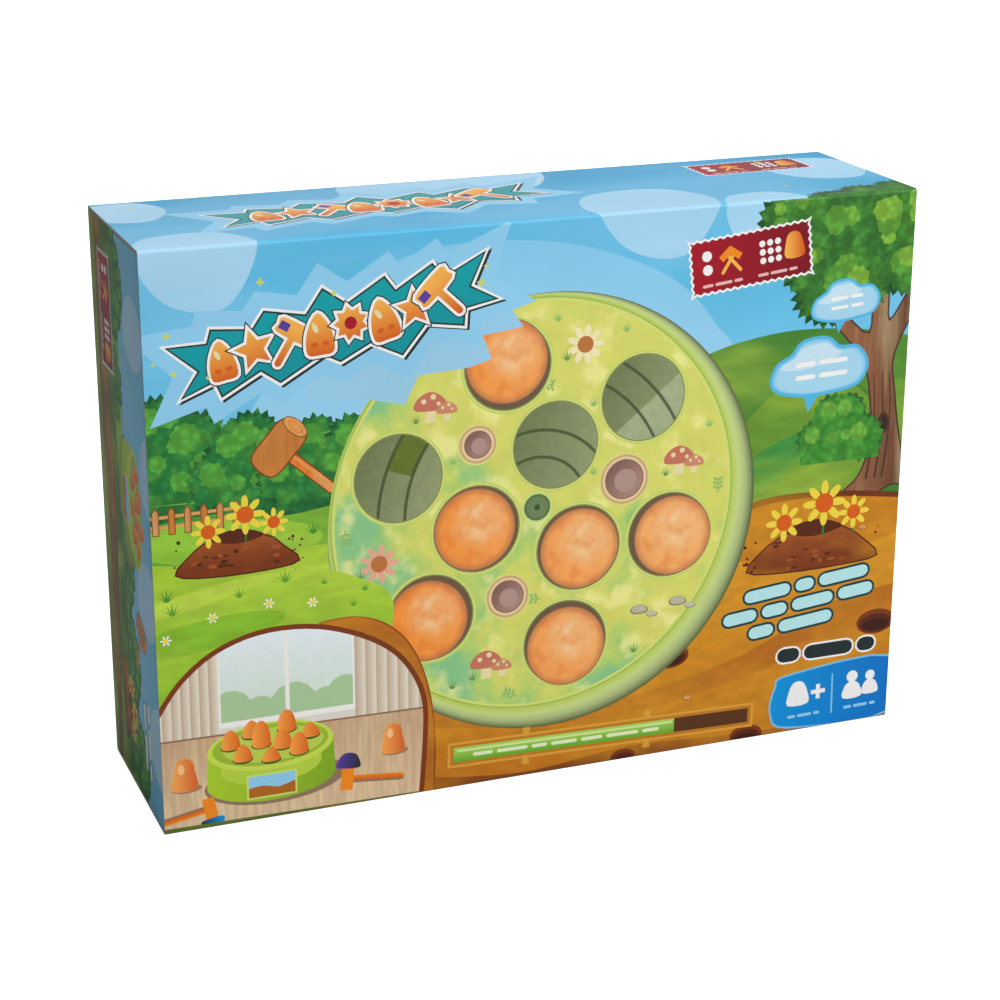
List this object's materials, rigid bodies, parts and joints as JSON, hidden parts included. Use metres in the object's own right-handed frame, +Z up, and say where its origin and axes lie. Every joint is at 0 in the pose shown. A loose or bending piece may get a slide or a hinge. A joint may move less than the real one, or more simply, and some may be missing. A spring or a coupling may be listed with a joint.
{
  "type": "mole pounding game",
  "caption": "Printed rectangular carton with hinged end flaps that holds a round motorised drum game, dome-headed moles that slide in its holes, and ball-faced hammers",
  "frame": {"origin": "centre of the carton's footprint, on the surface it stands on", "axes": "+X to the right along the carton's length, +Y from the printed front to the back, +Z up"},
  "size_m": [0.33, 0.088, 0.24],
  "materials": {
    "printed_board": "laminated printed card, many colours",
    "grey_board": "unprinted recycled card",
    "green_plastic": "moulded yellow-green plastic",
    "label_print": "printed sticker",
    "turntable_plastic": "moulded grey-green plastic",
    "orange_plastic": "moulded orange plastic",
    "blue_plastic": "moulded blue plastic",
    "indigo_rubber": "soft indigo moulding",
    "gear_plastic": "natural acetal",
    "steel": "plated steel",
    "black_plastic": "moulded black plastic",
    "red_lead": "insulated wire",
    "black_lead": "insulated wire",
    "blue_lead": "insulated wire"
  },
  "bodies": {
    "packed_carton": {"carton_front": "printed_board", "carton_back": "printed_board", "carton_top": "printed_board", "carton_bottom": "printed_board", "glue_lap": "grey_board", "left_divider": "grey_board", "right_divider": "grey_board", "lower_cradle": "grey_board", "upper_cradle": "grey_board", "base_tub": "green_plastic", "deck_cover": "green_plastic", "deck_label": "label_print", "side_label": "label_print", "pivot_screw": "steel", "deck_screw_1": "steel", "deck_screw_2": "steel", "deck_screw_3": "steel", "battery_door": "green_plastic", "battery_door_screw": "steel", "left_battery_contact": "steel", "right_battery_contact": "steel", "switch_body": "steel", "motor_can": "steel", "motor_end_cap": "black_plastic", "motor_clamp": "black_plastic", "red_lead": "red_lead", "black_lead": "black_lead", "blue_lead": "blue_lead", "output_shaft": "steel", "middle_shaft": "steel", "mole_7": "orange_plastic", "mole_8": "orange_plastic", "mole_9": "orange_plastic", "orange_hammer_handle": "orange_plastic", "orange_hammer_head": "orange_plastic", "orange_hammer_striker": "indigo_rubber", "blue_hammer_handle": "blue_plastic", "blue_hammer_head": "blue_plastic", "blue_hammer_striker": "indigo_rubber"},
    "turntable": {"turntable": "turntable_plastic"},
    "output_gear": {"output_gear": "gear_plastic"},
    "middle_gear": {"middle_gear": "gear_plastic"},
    "motor_rotor": {"motor_shaft": "steel", "motor_pinion": "steel"},
    "switch_knob": {"switch_knob": "black_plastic"},
    "mole_1": {"mole_1": "orange_plastic"},
    "mole_2": {"mole_2": "orange_plastic"},
    "mole_3": {"mole_3": "orange_plastic"},
    "mole_4": {"mole_4": "orange_plastic"},
    "mole_5": {"mole_5": "orange_plastic"},
    "mole_6": {"mole_6": "orange_plastic"},
    "right_closure": {"right_closure_flap": "printed_board"},
    "right_top_dust_flap": {"right_top_dust_flap": "printed_board"},
    "right_bottom_dust_flap": {"right_bottom_dust_flap": "printed_board"},
    "left_closure": {"left_closure_flap": "printed_board"},
    "left_top_dust_flap": {"left_top_dust_flap": "printed_board"},
    "left_bottom_dust_flap": {"left_bottom_dust_flap": "printed_board"}
  },
  "joints": [
    {"name": "turntable_spin", "type": "hinge", "parent": "packed_carton", "child": "turntable", "pos_m": [0, 0.011, 0.116], "axis": [0, -1, 0], "continuous": true},
    {"name": "output_gear_spin", "type": "hinge", "parent": "packed_carton", "child": "output_gear", "pos_m": [0.02633, 0.026, 0.1616], "axis": [0, -1, 0], "continuous": true},
    {"name": "middle_gear_spin", "type": "hinge", "parent": "packed_carton", "child": "middle_gear", "pos_m": [0.04965, 0.026, 0.15535], "axis": [0, -1, 0], "continuous": true},
    {"name": "motor_spin", "type": "hinge", "parent": "packed_carton", "child": "motor_rotor", "pos_m": [0.06202, 0.021, 0.14497], "axis": [0, -1, 0], "continuous": true},
    {"name": "mole_1_slide", "type": "slide", "parent": "packed_carton", "child": "mole_1", "axis": [0, -1, 0], "range_m": [-0.008, 0.008]},
    {"name": "mole_2_slide", "type": "slide", "parent": "packed_carton", "child": "mole_2", "axis": [0, -1, 0], "range_m": [-0.008, 0.008]},
    {"name": "mole_3_slide", "type": "slide", "parent": "packed_carton", "child": "mole_3", "axis": [0, -1, 0], "range_m": [-0.008, 0.008]},
    {"name": "mole_4_slide", "type": "slide", "parent": "packed_carton", "child": "mole_4", "axis": [0, -1, 0], "range_m": [-0.008, 0.008]},
    {"name": "mole_5_slide", "type": "slide", "parent": "packed_carton", "child": "mole_5", "axis": [0, -1, 0], "range_m": [-0.008, 0.008]},
    {"name": "mole_6_slide", "type": "slide", "parent": "packed_carton", "child": "mole_6", "axis": [0, -1, 0], "range_m": [-0.008, 0.008]},
    {"name": "switch_slide", "type": "slide", "parent": "packed_carton", "child": "switch_knob", "axis": [1, 0, 0], "range_m": [0, 0.004]},
    {"name": "right_closure_fold", "type": "hinge", "parent": "packed_carton", "child": "right_closure", "pos_m": [0.165, 0.0425, 0.12], "axis": [0, 0, 1], "range_deg": [0, 165]},
    {"name": "right_top_dust_fold", "type": "hinge", "parent": "packed_carton", "child": "right_top_dust_flap", "pos_m": [0.1635, 0, 0.2385], "axis": [0, -1, 0], "range_deg": [0, 91]},
    {"name": "right_bottom_dust_fold", "type": "hinge", "parent": "packed_carton", "child": "right_bottom_dust_flap", "pos_m": [0.1635, 0, 0.0015], "axis": [0, 1, 0], "range_deg": [0, 91]},
    {"name": "left_closure_fold", "type": "hinge", "parent": "packed_carton", "child": "left_closure", "pos_m": [-0.165, 0.0425, 0.12], "axis": [0, 0, -1], "range_deg": [0, 165]},
    {"name": "left_top_dust_fold", "type": "hinge", "parent": "packed_carton", "child": "left_top_dust_flap", "pos_m": [-0.1635, 0, 0.2385], "axis": [0, 1, 0], "range_deg": [0, 91]},
    {"name": "left_bottom_dust_fold", "type": "hinge", "parent": "packed_carton", "child": "left_bottom_dust_flap", "pos_m": [-0.1635, 0, 0.0015], "axis": [0, -1, 0], "range_deg": [0, 91]}
  ],
  "couplings": [
    {"joint": "output_gear_spin", "follows": "turntable_spin", "ratio": -6},
    {"joint": "middle_gear_spin", "follows": "turntable_spin", "ratio": 18},
    {"joint": "motor_spin", "follows": "turntable_spin", "ratio": -72},
    {"joint": "right_top_dust_fold", "follows": "right_closure_fold", "ratio": 0.55},
    {"joint": "right_bottom_dust_fold", "follows": "right_closure_fold", "ratio": 0.55},
    {"joint": "left_top_dust_fold", "follows": "left_closure_fold", "ratio": 0.55},
    {"joint": "left_bottom_dust_fold", "follows": "left_closure_fold", "ratio": 0.55}
  ]
}
